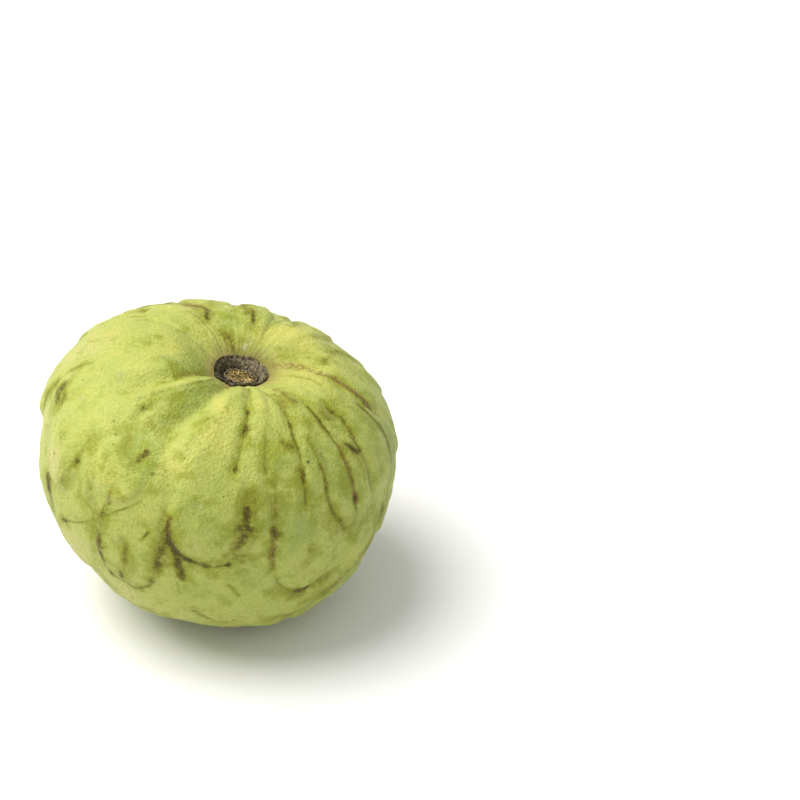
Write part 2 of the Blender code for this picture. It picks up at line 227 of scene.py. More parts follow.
def bulge_height(way):
    """Sum of bells h exp(-(angle/spread)^2)."""
    total = np.zeros(way.shape[:-1])
    for longitude, colatitude, spread, height in BULGES:
        centre = direction(np.radians(longitude), np.radians(colatitude))
        angle = np.degrees(np.arccos(np.clip(way @ centre, -1, 1)))
        total += height * np.exp(-(angle / spread)**2)
    return total


def rounded(points, rounds):
    """The path with its corners cut, each at a quarter and three quarters of its pieces, that many times."""
    points = np.array(points, float)
    for _ in range(rounds):
        quarter = points[:-1] * 0.75 + points[1:] * 0.25
        third = points[:-1] * 0.25 + points[1:] * 0.75
        points = np.vstack([points[:1], np.stack([quarter, third], 1).reshape(-1, 2), points[-1:]])
    return points


def path_offset(way, points, rounds=0):
    """Distance from each direction to a path, and how far it lies to the side of the path, metres.

    The distance is the least over the path's pieces on the nominal sphere. The side is measured square to the
    nearest piece: below zero on one hand of somebody who walks along the path, above zero on the other.
    """
    corners = [direction(np.radians(lon), np.radians(col)) for lon, col in rounded(points, rounds)]
    nearest = np.full(way.shape[:-1], 9.0)
    side = np.zeros(way.shape[:-1])
    for start, end in zip(corners[:-1], corners[1:]):
        step = end - start
        t = np.clip((way - start) @ step / (step @ step), 0, 1)
        off = way - start - t[..., None] * step
        distance = np.linalg.norm(off, axis=-1)
        square = np.cross(start, step)
        side = np.where(distance < nearest, off @ (square / np.linalg.norm(square)), side)
        nearest = np.minimum(nearest, distance)
    return nearest * NOMINAL_RADIUS, side * NOMINAL_RADIUS


def fold_height(way):
    """Sum of rounded ridges and valleys h exp(-(distance/width)^2) along the folds' paths."""
    total = np.zeros(way.shape[:-1])
    for width, height, points in FOLDS:
        total += height * np.exp(-(path_offset(way, points)[0] / width)**2)
    return total


def lip_height(way):
    """Sum of steps -d s(side) exp(-(distance/run)^2) along the lips; s goes from 0 to 1 across the path."""
    total = np.zeros(way.shape[:-1])
    for drop, run, points in LIPS:
        distance, side = path_offset(way, points, 2)
        total -= drop * smooth(side / LIP_SHARPNESS / 2 + 0.5) * np.exp(-(distance / run)**2)
    return total


def all_pads():
    """The placed pads, then a golden angle spiral of pads on the sides that are not placed by hand."""
    chance = np.random.default_rng(SEED)
    pads = list(PADS)
    placed = [direction(np.radians(pad[0]), np.radians(pad[1])) for pad in PADS]
    for index in range(SPIRAL_COUNT):
        shift = chance.uniform(-1, 1, 4)
        level = 1 - 2 * (index + 0.5) / SPIRAL_COUNT
        colatitude = np.degrees(np.arccos(level)) + SPIRAL_SHIFT_DOWN * shift[0]
        longitude = (index * SPIRAL_ANGLE + SPIRAL_SHIFT_ROUND * shift[1] + 180) % 360 - 180
        if colatitude < SPIRAL_HIGHEST:
            continue
        if abs(longitude) < PLACED_HALF_SPAN and colatitude < PLACED_LOWEST:
            continue
        here = direction(np.radians(longitude), np.radians(colatitude))
        if max(here @ other for other in placed) > np.cos(np.radians(CLEAR_OF_PLACED)):
            continue
        narrowing = 1 - SPIRAL_NARROWING * (1 - np.sin(np.radians(colatitude)))
        half_width = (SPIRAL_HALF_WIDTH + SPIRAL_WIDTH_VARIES * shift[2]) * narrowing
        height = SPIRAL_HEIGHT + SPIRAL_HEIGHT_VARIES * shift[3]
        pads.append((longitude, colatitude, half_width, SPIRAL_CAP * narrowing, SPIRAL_LENGTH, height))
    return pads


def pad_relief(longitude, colatitude):
    """Highest of all pads, and how far each point lies from the outline of the pad that is highest there.

    A pad is a tongue: half an ellipse at the tip, then two meridians towards the stem. It rises over PAD_EDGE
    from its outline and fades out along its length, so each one laps over the next.
    """
    best = np.zeros(longitude.shape)
    rim = np.full(longitude.shape, 0.05)
    for tip_lon, tip_col, half_width, cap, length, height in all_pads():
        across = np.radians(degrees_apart(longitude, tip_lon)) * NOMINAL_RADIUS * np.sin(np.radians(tip_col))
        along = (np.radians(tip_col) - colatitude) * NOMINAL_RADIUS
        q = np.abs(across) / half_width
        behind = np.clip((cap - along) / cap, 0, None)
        inside = (1 - np.hypot(q, behind)) * half_width
        fade = smooth(1.15 - np.clip(along, 0, None) / length)
        this = height * smooth(inside / PAD_EDGE) * fade
        from_tip = np.clip(along - cap, 0, None)
        rim = np.where(this >= best, np.minimum(np.abs(inside) + 0.6 * from_tip, 0.05), rim)
        rim = np.where((this < best) & (inside > 0), rim, np.minimum(rim, np.abs(inside) + 0.6 * from_tip))
        best = np.maximum(best, this)
    return best, rim


def flesh_waves(way):
    """Sum of plane waves a sin(k p + f) through the point p, from the longest to the shortest."""
    chance = np.random.default_rng(SEED + 1)
    point = way * NOMINAL_RADIUS
    total = np.zeros(way.shape[:-1])
    for index in range(WAVE_COUNT):
        share = index / (WAVE_COUNT - 1)
        length = WAVE_LONGEST * (WAVE_SHORTEST / WAVE_LONGEST)**share
        heading = chance.normal(size=3)
        heading *= 2 * np.pi / length / np.linalg.norm(heading)
        total += np.sqrt(length / WAVE_LONGEST) * np.sin(point @ heading + chance.uniform(0, 2 * np.pi))
    return total * WAVE_HEIGHT


def pleats(longitude, reach):
    """Sum of sines of whole numbers of turns round the stem, which die out away from the hollow."""
    total = np.zeros(longitude.shape)
    for count in PLEAT_COUNTS:
        total += np.sin(count * longitude + 1.7 * np.sin(3 * longitude + count) + count)
    return total * PLEAT_HEIGHT * np.exp(-(reach / PLEAT_REACH)**2)


def skin_points(longitude, colatitude, fine=True):
    """Points of the skin in the stem's frame: body less the hollow, plus folds, bulges, pads and waves."""
    way = direction(longitude, colatitude)
    radius = body_radius(way)
    reach = radius * np.sin(colatitude)
    near_stem = colatitude < np.radians(HOLLOW_REACH)
    radius = radius - near_stem * hollow_depth(longitude, reach) / np.maximum(np.cos(colatitude), 0.3)
    down = way @ (tilt(STEM_LEAN_BACK, STEM_LEAN_RIGHT).T @ np.array([0, 0, -1.0]))
    off_flat = np.arccos(np.clip(down, -1, 1)) * NOMINAL_RADIUS
    calm = smooth((off_flat - 0.35 * FLAT_CALM_RADIUS) / (0.65 * FLAT_CALM_RADIUS))
    clear_of_seat = smooth((reach - FOLD_CALM_INNER) / (FOLD_CALM_OUTER - FOLD_CALM_INNER))
    relief = (fold_height(way) + lip_height(way)) * clear_of_seat
    relief = relief + pad_relief(longitude, colatitude)[0] * calm
    if fine:
        relief = relief + (flesh_waves(way) + near_stem * pleats(longitude, reach)) * clear_of_seat
    radius = radius + bulge_height(way) + relief
    return way * radius[..., None]


def skin_level(longitude, reach):
    """Height of the skin along the stem's axis, at a distance from that axis near the seat."""
    colatitude = np.full(longitude.shape, np.arctan2(reach, SEAT_FLOOR))
    for _ in range(12):
        point = skin_points(longitude, colatitude, fine=False)
        colatitude = np.arctan2(reach, point[..., 2])
    return point[..., 2]


def closed_rings(name, rings, top, bottom):
    """Smooth object from rings of equal length, closed by two pole points; it stands where its points are."""
    count = rings.shape[1]
    vertices = np.vstack([rings.reshape(-1, 3), top, bottom])
    first, last = len(vertices) - 2, len(vertices) - 1
    here = np.arange(count)
    after = (here + 1) % count
    low = (np.arange(len(rings) - 1) * count)[:, None]
    sides = np.stack([low + here, low + count + here, low + count + after, low + after], -1).reshape(-1, 4)
    base = (len(rings) - 1) * count
    lid = np.stack([np.full(count, first), here, after], -1)
    foot = np.stack([np.full(count, last), base + after, base + here], -1)
    mesh = bpy.data.meshes.new(name)
    mesh.from_pydata(vertices.tolist(), [], lid.tolist() + sides.tolist() + foot.tolist())
    mesh.polygons.foreach_set("use_smooth", np.ones(len(mesh.polygons), bool))
    mesh.update()
    piece = bpy.data.objects.new(name, mesh)
    bpy.context.scene.collection.objects.link(piece)
    return piece


lean = tilt(STEM_LEAN_BACK, STEM_LEAN_RIGHT)
turn = np.linspace(-np.pi, np.pi, SEGMENTS, endpoint=False)
seat_edge = np.arctan2(SEAT_RADIUS, skin_level(turn, SEAT_RADIUS).mean())
longitudes, colatitudes = np.meshgrid(turn, np.linspace(seat_edge, np.pi, RINGS + 1)[:-1])
skin = skin_points(longitudes, colatitudes)
seat_level = skin_level(turn, SEAT_RADIUS)
skin[0] = np.stack([SEAT_RADIUS * np.sin(turn), -SEAT_RADIUS * np.cos(turn), seat_level], -1)
floor_ratio = (SEAT_RADIUS - SEAT_TAPER) / SEAT_RADIUS
seat_ring = skin[0] * np.array([floor_ratio, floor_ratio, 0]) + np.array([0, 0, SEAT_FLOOR])
blossom_end = skin_points(np.array([0.0]), np.array([np.pi]))
leaned = np.concatenate([seat_ring[None], skin]) @ lean.T
lowest = leaned[..., 2].min() + FLAT_CUT
leaned[..., 2] = np.maximum(leaned[..., 2], lowest)
solid_low, solid_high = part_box("fruit")
middle = (leaned.reshape(-1, 3).min(0) + leaned.reshape(-1, 3).max(0)) / 2
centre = (np.array(solid_low) + np.array(solid_high)) / 2
shift = np.array([centre[0] - middle[0], centre[1] - middle[1], solid_low[2] - lowest])
fruit = closed_rings(
    "fruit_skin",
    leaned + shift,
    np.array([[0, 0, SEAT_FLOOR]]) @ lean.T + shift,
    blossom_end @ lean.T + shift,
)

# Thin dark lines where pads meet and where the skin was scratched: half width in mm, strength, path
LINES = [
    (0.20, 0.60, [(9, 24), (7, 33), (4.5, 40), (3.8, 44), (3.7, 48.5), (3, 51), (2.4, 57), (2.0, 61),
                  (1.6, 66)]),
    (0.26, 0.35, [(12.5, 51), (12, 61), (13, 65.5), (14, 70.5), (15.8, 74.5), (17, 79.5), (18.7, 83.5)]),
    (0.26, 0.40, [(18.7, 83.5), (20.4, 91.5), (23, 98), (24.7, 101.5), (26.7, 103.5)]),
    (0.20, 0.75, [(26.7, 103.5), (29.6, 106), (32.7, 107.5), (36.5, 107.8), (38.4, 106.5),
                  (42.5, 104), (48.5, 101.5)]),
    (0.24, 0.65, [(25, 37), (26.5, 43), (26.3, 49), (26.6, 53), (27, 60.5), (27.3, 66.5), (28.2, 73.5)]),
    (0.26, 0.75, [(43.5, 41.5), (44.2, 46), (44.3, 51), (46, 56), (47.2, 59), (46.5, 62.5), (47, 67),
                  (48.5, 73),
                  (49.2, 78), (50.5, 84)]),
    (0.24, 0.60, [(32.7, 54.5), (34.2, 59), (35.3, 62.3), (36.3, 66.5), (36.2, 69.5), (37, 73.3),
                  (38.8, 77.3),
                  (42.2, 81), (47, 86)]),
    (0.30, 0.75, [(57.5, 41.5), (57, 47)]),
    (0.24, 0.50, [(55.5, 56.5), (56.5, 61.3), (58, 66), (58.5, 70.5), (59, 75)]),
    (0.26, 0.80, [(76, 52), (79, 63), (77.5, 70), (75, 78)]),
    (0.26, 0.35, [(-14.5, 87.5), (-13, 93.5), (-8.3, 98.7), (-4.3, 99.5), (0.7, 100.5), (7.2, 97.7)]),
    (0.22, 0.60, [(-38, 107), (-35.5, 108.5), (-34.3, 112.5), (-33, 115), (-31.5, 119.3), (-31, 122),
                  (-25, 122.5),
                  (-21.3, 121.8), (-17.8, 119.8), (-15, 116.8), (-13.5, 114)]),
    (0.26, 0.35, [(-25.5, 104), (-24.5, 108), (-24.3, 113)]),
    (0.24, 0.40, [(-52, 78), (-52.5, 83), (-53.5, 87.5), (-54.5, 92.5), (-57.5, 99.5), (-61, 104.5)]),
    (0.24, 0.65, [(-68, 104), (-65.5, 108), (-63, 111), (-64.5, 117)]),
    (0.16, 0.75, [(-54, 112.5), (-45, 107.5), (-40, 102.5), (-35, 97), (-31, 92.5), (-27.5, 89),
                  (-25, 85.8)]),
    (0.26, 0.90, [(-21, 98), (-20.4, 96.6), (-19.6, 95)]),
    (0.18, 0.65, [(-6.2, 110), (-5, 112.2), (-4.2, 114.4)]),
    (0.26, 0.90, [(10.3, 105.8), (12.1, 106.7), (13.9, 108.5)]),
    (0.20, 0.50, [(72, 28), (71, 32.5), (68, 36)]),
    (0.22, 0.55, [(149, 42), (158, 48), (159, 42), (162, 33)]),
    (0.24, 0.60, [(-83, 66), (-86, 71), (-87.5, 76), (-89, 82), (-90, 88), (-89, 94)]),
    (0.24, 0.45, [(-122, 54), (-121, 62), (-122, 70)]),
    (0.24, 0.45, [(103, 36), (112, 40), (118, 44), (120, 52)]),
]

# Olive brown stains with soft edges, and bands of painted shade by the ridge: half width in mm, strength,
# path
STAINS_AND_SHADE = [
    # Painted shade: this band darkens the valley behind the ridge.
    (1.8, 0.55, [(-58, 26), (-57, 34), (-54, 42)]),
    (0.6, 0.60, [(-53, 46), (-54, 49)]),
    (0.6, 0.70, [(-42.7, 59.4), (-42.5, 60.6)]),
    (0.9, 0.95, [(-30.4, 70.9), (-30.6, 72.6)]),
    (1.1, 0.66, [(-30.6, 72.6), (-32.2, 76.5)]),
    (3.0, 0.36, [(-40, 70), (-34, 78)]),
    # Painted shade: these two bands darken the ridge's front face.
    (3.0, 0.36, [(-30, 38), (-35, 46), (-38, 52)]),
    (2.6, 0.42, [(-35, 54), (-38, 60)]),
    (2.4, 0.34, [(-24, 74), (-20, 80)]),
    (0.6, 0.75, [(3.7, 43), (3.2, 46)]),
    (1.0, 0.80, [(3.6, 50), (2.8, 53.5)]),
    (0.6, 0.60, [(2.4, 57), (1.9, 60)]),
    (0.6, 0.85, [(1.7, 64.5), (1.5, 66.5)]),
    (1.2, 0.45, [(12.3, 52), (12, 58), (12.5, 64)]),
    (1.3, 1.10, [(8.0, 77), (8.6, 79)]),
    (1.0, 1.05, [(8.4, 78.5), (8.9, 82), (9.2, 84)]),
    (1.2, 1.00, [(7.0, 83.4), (10.5, 83.4)]),
    (1.2, 0.80, [(9.4, 84), (9.6, 87), (8.4, 91)]),
    (1.3, 0.50, [(8.5, 90), (5.5, 95)]),
    (2.4, 0.55, [(8, 73), (9.5, 82), (7.5, 92), (12, 95)]),
    (1.6, 0.50, [(33, 29), (33, 33), (35, 38)]),
    (2.0, 0.50, [(26.5, 33), (27.5, 38), (25, 42)]),
    (1.5, 0.56, [(20, 54.5), (24, 56), (25.5, 54.5)]),
    (0.7, 0.70, [(26.4, 47), (26.6, 53), (27, 58)]),
    (1.0, 0.80, [(27.2, 63.5), (27.6, 67.5)]),
    (0.9, 0.50, [(27.8, 68), (28.4, 76)]),
    (0.8, 0.75, [(43.5, 41.5), (44.2, 47), (45, 53)]),
    (1.8, 0.40, [(44, 50), (47, 56), (49, 60)]),
    (1.2, 0.60, [(46.8, 60), (47, 64), (48, 70)]),
    (0.8, 0.95, [(48.8, 73.5), (49.4, 76.5)]),
    (2.2, 0.56, [(49, 46), (52, 48), (56, 47.5)]),
    (0.7, 0.80, [(55.5, 44.5), (57, 47)]),
    (1.0, 0.85, [(50.8, 57.6), (53, 60.3), (56.5, 61.6)]),
    (1.0, 0.65, [(58.5, 50), (57, 56), (56.5, 61)]),
    (1.5, 0.40, [(57.5, 63), (59, 72), (60, 82)]),
    (0.9, 0.70, [(35, 62), (36.2, 67), (36.4, 71)]),
    (1.8, 0.45, [(36, 48), (33, 54), (36, 60)]),
    (0.9, 0.60, [(37, 73.3), (38.8, 77.3), (42.2, 81), (47, 86)]),
    (2.6, 0.45, [(44, 84), (52, 88), (58, 84)]),
    (0.6, 0.70, [(76, 50), (79, 62), (77.5, 70)]),
    (2.2, 0.55, [(72, 84), (66, 94), (58, 104), (50, 112)]),
    (1.4, 0.55, [(15.5, 68), (17.5, 76), (18.7, 82)]),
    (1.5, 0.80, [(18.0, 82.8), (20.0, 84.8)]),
    (1.2, 0.60, [(19, 86), (20.3, 92), (22, 97)]),
    (0.8, 0.70, [(20.3, 90), (20.6, 93)]),
    (2.4, 0.35, [(12, 84), (13, 92), (12, 98)]),
    (1.2, 0.85, [(34, 106.8), (36.5, 108), (39, 106.8)]),
    (1.8, 0.50, [(28, 105), (36, 110), (46, 104)]),
    (1.2, 0.50, [(33, 90), (34, 95)]),
    (0.8, 1.00, [(-14.5, 86.5), (-14.3, 91)]),
    (1.3, 0.95, [(-14, 91), (-12.5, 95)]),
    (1.5, 1.05, [(-11.8, 95.2), (-8.3, 98.7)]),
    (1.0, 1.00, [(-8, 98.9), (-4.5, 99.8)]),
    (0.9, 0.90, [(-4, 100.1), (1, 100.3)]),
    (0.5, 0.80, [(1, 100.3), (6.5, 98)]),
    (0.6, 1.00, [(6.8, 97.8), (7.6, 97.4)]),
    (1.2, 0.88, [(-9, 100), (-7, 104), (-5.5, 107)]),
    (1.2, 0.72, [(-13.3, 94.5), (-14.1, 98.8), (-14.7, 102.7)]),
    (1.6, 0.72, [(-14.4, 103.5), (-13.2, 107)]),
    (2.2, 0.50, [(-16, 88), (-15.5, 97), (-12, 104)]),
    (0.9, 0.75, [(-14.5, 112.5), (-15, 117)]),
    (0.8, 0.60, [(-38, 103), (-37, 108), (-35, 112)]),
    (1.0, 0.85, [(-36.4, 104.5), (-35, 108), (-34, 112)]),
    (1.3, 0.75, [(-34, 112), (-32, 118), (-30.5, 122)]),
    (0.5, 0.70, [(-30, 122), (-24, 122.5), (-19, 121), (-15, 117)]),
    (1.0, 0.60, [(-25.5, 103), (-24.4, 110)]),
    (0.7, 0.90, [(-25.2, 115), (-24.8, 117.5)]),
    (1.2, 0.48, [(-51, 77), (-52, 83), (-53.5, 92), (-57, 99)]),
    (0.6, 0.70, [(-51.8, 86.5), (-52.6, 89)]),
    (1.4, 0.95, [(-68, 105.5), (-66, 108)]),
    (0.7, 0.80, [(-65, 109), (-63.3, 111), (-64.5, 116)]),
    (0.5, 0.95, [(-54.4, 113), (-52.6, 112)]),
    (1.3, 0.60, [(-35, 88.7), (-36.2, 95.5), (-36.3, 100)]),
    (2.4, 0.45, [(-44, 92), (-40, 99), (-37, 106)]),
    (1.2, 0.45, [(-18.5, 53), (-16.5, 52)]),
    (1.3, 0.70, [(84, 38), (82, 44), (81, 50), (82.5, 56)]),
    (1.8, 0.55, [(116, 42), (121, 46), (124, 52)]),
    (1.6, 0.50, [(100, 36), (108, 37)]),
    (2.2, 0.60, [(-180, 38), (-178, 46)]),
    (1.0, 0.75, [(175, 33), (177, 39)]),
    (3.8, 0.52, [(-149, 52), (-154, 46), (-151, 40)]),
    (1.2, 0.90, [(-153, 48), (-156, 44), (-148, 37)]),
    (2.4, 0.62, [(-163, 21), (-158, 27)]),
    (1.0, 1.10, [(-13, 137), (-9, 135)]),
    (0.7, 1.10, [(-148, 61), (-146, 60)]),
    (1.8, 0.50, [(-128, 56), (-133, 64), (-137, 62)]),
    (1.4, 0.50, [(150, 43), (157, 48)]),
    (1.3, 0.50, [(-85, 70), (-88, 78), (-90, 86)]),
    (2.0, 0.80, [(-80, 77.5), (-78.5, 81)]),
    (1.0, 0.55, [(-76, 77), (-74, 82)]),
    (1.8, 0.45, [(-38, 127), (-34, 131)]),
    (1.5, 0.55, [(4, 122), (10, 126)]),
    (1.8, 0.45, [(34, 121), (42, 118), (50, 112)]),
    (1.1, 0.60, [(-112, 80), (-110, 92), (-116, 100)]),
    (1.2, 0.55, [(120, 78), (123, 90), (118, 100), (108, 104)]),
    (1.2, 0.60, [(-160, 88), (-156, 98), (-148, 102)]),
    (1.2, 0.55, [(160, 92), (166, 100), (176, 102)]),
]

# Bands of fine rusty specks: half width in mm, strength, path
RUST_BANDS = [
    (1.6, 1.0, [(112, 20), (104, 23), (98, 26), (92, 29), (86, 34), (82, 42)]),
    (1.0, 1.0, [(81, 44), (81, 52), (83, 58)]),
    (1.0, 0.8, [(46.5, 58), (47.5, 67), (49.3, 76)]),
    (2.0, 0.7, [(31.5, 30), (33, 34), (35, 37)]),
    (2.4, 0.8, [(-150, 54), (-151, 48), (-156, 44)]),
    (1.2, 0.7, [(20.2, 88), (20.5, 93)]),
]

# Small round marks: longitude, colatitude, radius in mm, strength
SPOTS = [
    (3.8, 44, 0.6, 0.8), (1.6, 65, 0.5, 0.7), (18.7, 83.5, 0.6, 0.9), (20.4, 91.5, 0.6, 0.7),
    (36.5, 107.8, 0.8, 0.9), (27.3, 66.5, 0.5, 0.8), (44.2, 46, 0.6, 0.7), (49, 75, 0.8, 0.9),
    (49.5, 78.3, 0.4, 0.9), (36.2, 69.5, 0.5, 0.7), (56.5, 61.3, 0.6, 0.8), (52, 59.5, 0.6, 0.7),
    (30, 61, 0.4, 0.9), (18, 75, 0.3, 0.6), (-52, 87.6, 0.6, 0.9), (-70.6, 86.8, 0.35, 1.0),
    (-63.5, 92.5, 0.35, 1.0), (-72.7, 58.7, 0.45, 0.6), (-48, 69, 0.45, 0.7), (-44, 72, 0.45, 0.8),
    (-47, 57.6, 0.4, 0.7), (-43, 87.5, 0.5, 0.8), (-25, 76, 0.45, 0.9), (-26, 79.5, 0.35, 0.7),
    (-25, 116.5, 0.6, 0.9), (-8.3, 98.7, 0.8, 0.9), (7.2, 97.7, 0.7, 0.9), (-42.7, 59.8, 0.6, 0.8),
    (-15.5, 51.5, 0.4, 0.9), (-30.5, 71, 0.6, 0.9), (-58, 48, 0.4, 0.5), (-14.5, 79.5, 0.35, 0.6),
    (18, 122.5, 0.6, 0.8), (19.5, 119.5, 0.5, 0.7), (-66.5, 107.5, 0.8, 0.9), (34, 95, 0.6, 0.7),
    (140, 70, 0.5, 0.7), (-150, 95, 0.6, 0.7), (170, 100, 0.5, 0.7), (-120, 110, 0.5, 0.7),
    (110, 120, 0.6, 0.7), (-170, 60, 0.5, 0.7), (125, 95, 0.4, 0.8), (-100, 100, 0.4, 0.8),
]

# Where the ground colour turns, partly as painted light and shade: longitude, colatitude, spread in degrees,
# amount
# Painted light: some yellow bells, in front of the stem and beside it, brighten skin that the lamps leave
# darker
YELLOW_AND_LIGHT = [
    (95, 32, 12, 0.6), (-120, 51, 12, 0.5), (-12, 44, 7, 0.8), (-10, 56, 9, 0.8), (4, 52, 7, 0.5),
    (-20, 88, 7, 0.4), (-75, 45, 26, 0.4), (-60, 72, 14, 0.4), (90, 28, 24, 0.7), (32, 34, 10, 0.6),
    (-150, 36, 30, 0.5), (-125, 54, 20, 0.7), (-8, 126, 16, 0.4), (-44, 42, 6, 0.8), (6, 112, 12, 0.3),
    (-42, 84, 9, 0.5), (150, 34, 24, 0.5), (14, 40, 6, 0.7), (-20, 27, 6, 0.6), (-33, 88, 6, 0.5),
    (-20, 70, 8, 0.5),
]
# Painted shade: the green bells on the ridge's front face, on the right side and at the back of the hollow
# darken the skin
GREEN_AND_SHADE = [
    (-30, 40, 8, 0.8), (-36, 50, 8, 0.8), (0, 38, 5, 0.4), (16, 60, 8, 0.6), (38, 62, 12, 0.6),
    (-4, 82, 12, 0.5), (24, 84, 14, 0.6), (16, 98, 12, 0.5), (44, 88, 8, 0.5), (-30, 72, 9, 0.8),
    (64, 92, 22, 0.5), (66, 60, 18, 0.5), (-64, 34, 12, 0.6), (-58, 86, 8, 0.3), (-22, 106, 7, 0.3),
    (90, 80, 30, 0.5), (-4, 108, 9, 0.3), (-80, 26, 14, 0.5), (-50, 40, 7, 0.6), (-36, 56, 7, 0.5),
    (-166, 34, 9, 0.6), (44, 62, 8, 0.4), (160, 38, 10, 0.6), (150, 84, 24, 0.4), (-150, 96, 20, 0.4),
    (-118, 84, 14, 0.5),
]
BLUSH = [
    (-24, 113, 7, 0.6), (0, 130, 14, 0.4), (-84, 94, 12, 0.7), (-64, 96, 10, 0.7), (-48, 122, 14, 0.7),
    (-26, 130, 14, 0.6), (-20, 38, 6, 0.5), (-98, 70, 16, 0.6), (34, 122, 12, 0.3), (-150, 120, 30, 0.4),
    (160, 140, 40, 0.5), (-38, 62, 5, 0.4), (-5, 94, 5, 0.4),
]

# Pale corky flecks: longitude, colatitude, spread in degrees, amount
FLECKS = [(177, 21.5, 1.8, 1.0), (172, 24, 1.2, 0.8), (-74, 46, 0.6, 0.6)]


def strongest_bell(way, places):
    """Highest of bells a exp(-(angle/spread)^2) round the given places."""
    best = np.zeros(way.shape[:-1])
    for longitude, colatitude, spread, amount in places:
        middle = direction(np.radians(longitude), np.radians(colatitude))
        angle = np.degrees(np.arccos(np.clip(way @ middle, -1, 1)))
        best = np.maximum(best, amount * np.exp(-(angle / spread)**2))
    return best


def line_fields(way):
    """For the nearest line: distance and signed distance in half widths, and the line's strength."""
    away = np.full(way.shape[:-1], 99.0)
    side = np.full(way.shape[:-1], 99.0)
    strength = np.zeros(way.shape[:-1])
    for half_width, amount, points in LINES:
        distance, signed = path_offset(way, points, 2)
        distance, signed = distance * 1000 / half_width, signed * 1000 / half_width
        closer = distance < away
        away = np.where(closer, distance, away)
        side = np.where(closer, signed, side)
        strength = np.where(closer, amount, strength)
    return away, side, strength


def band_fields(way, bands):
    """Highest of bands a exp(-(distance/width)^2) along the paths: narrow, and wide with a margin."""
    narrow = np.zeros(way.shape[:-1])
    wide = np.zeros(way.shape[:-1])
    for half_width, amount, points in bands:
        distance = path_offset(way, points, 1)[0] * 1000
        narrow = np.maximum(narrow, amount * np.exp(-0.6 * (distance / half_width)**2))
        wide = np.maximum(wide, amount * np.exp(-(distance / (1.8 * half_width + 1.5))**2))
    return narrow, wide


def spot_field(way):
    """Highest of cones a (1 - distance/(2.2 radius)) round the spots; the material cuts them at a level."""
    best = np.zeros(way.shape[:-1])
    for longitude, colatitude, radius, amount in SPOTS:
        middle = direction(np.radians(longitude), np.radians(colatitude))
        distance = np.linalg.norm(way - middle, axis=-1) * NOMINAL_RADIUS * 1000
        best = np.maximum(best, amount * np.clip(1 - distance / (2.2 * radius), 0, 1))
    return best


def store(piece, name, values, kind="FLOAT"):
    """Keeps a value or a vector for each point of the piece, which its material reads by name."""
    attribute = piece.data.attributes.new(name, kind, "POINT")
    field = "vector" if kind == "FLOAT_VECTOR" else "value"
    attribute.data.foreach_set(field, values.astype(np.float32).ravel())


# Where the front ends, in degrees, and how clearly the pads' outlines show behind and in front
FRONT_HALF_SPAN = 95
FRONT_SIDE_FADE = 20
FRONT_LOWEST = 128
FRONT_LOWEST_FADE = 8
RIM_STRENGTH = 0.90
RIM_FAINTER_IN_FRONT = 0.65
# Reach from the stem in mm at the seat and on the lower half, turn of the painted shade, streaks out of the
# hollow
SEAT_REACH = 5.0
FAR_REACH = 60.0
SHADED_WAY = 35
STREAK_FINENESS = 48
STREAK_DRAWN_OUT = 0.10

all_longitudes = np.concatenate([turn, longitudes.ravel(), [0.0, 0.0]])
all_colatitudes = np.concatenate([np.full(SEGMENTS, seat_edge), colatitudes.ravel(), [seat_edge, np.pi]])
all_ways = direction(all_longitudes, all_colatitudes)
line_away, line_side, line_strength = line_fields(all_ways)
store(fruit, "line_away", line_away)
store(fruit, "line_side", line_side)
store(fruit, "line_strength", line_strength)
stain_and_shade, halo_and_shade = band_fields(all_ways, STAINS_AND_SHADE)
store(fruit, "stain_and_shade", stain_and_shade)
store(fruit, "halo_and_shade", halo_and_shade)
store(fruit, "rust", band_fields(all_ways, RUST_BANDS)[0])
store(fruit, "spot", spot_field(all_ways))
store(fruit, "yellow_and_light", strongest_bell(all_ways, YELLOW_AND_LIGHT))
store(fruit, "green_and_shade", strongest_bell(all_ways, GREEN_AND_SHADE))
store(fruit, "blush", strongest_bell(all_ways, BLUSH))
store(fruit, "fleck", strongest_bell(all_ways, FLECKS))
on_front = smooth((FRONT_HALF_SPAN - np.abs(degrees_apart(all_longitudes, 0))) / FRONT_SIDE_FADE)
on_front = on_front * smooth((FRONT_LOWEST - np.degrees(all_colatitudes)) / FRONT_LOWEST_FADE)
pad_rim = pad_relief(all_longitudes, all_colatitudes)[1] * 1000
store(fruit, "pad_rim", pad_rim)
store(fruit, "rim_strength", RIM_STRENGTH - RIM_FAINTER_IN_FRONT * on_front)
reach_mm = np.hypot(skin[..., 0], skin[..., 1]).ravel() * 1000
upper_reach = np.where(colatitudes.ravel() < 2, reach_mm, FAR_REACH)
from_stem_mm = np.concatenate([np.full(SEGMENTS, SEAT_REACH), upper_reach, [SEAT_REACH, FAR_REACH]])
store(fruit, "from_stem", from_stem_mm)
store(fruit, "behind_stem", 0.5 - 0.5 * np.cos(all_longitudes + np.radians(SHADED_WAY)))
store(fruit, "from_blossom", NOMINAL_RADIUS * 1000 * (np.pi - all_colatitudes))
round_way = np.stack([np.sin(all_longitudes), np.cos(all_longitudes), STREAK_DRAWN_OUT * all_colatitudes], -1)
store(fruit, "round_way", round_way * STREAK_FINENESS, "FLOAT_VECTOR")


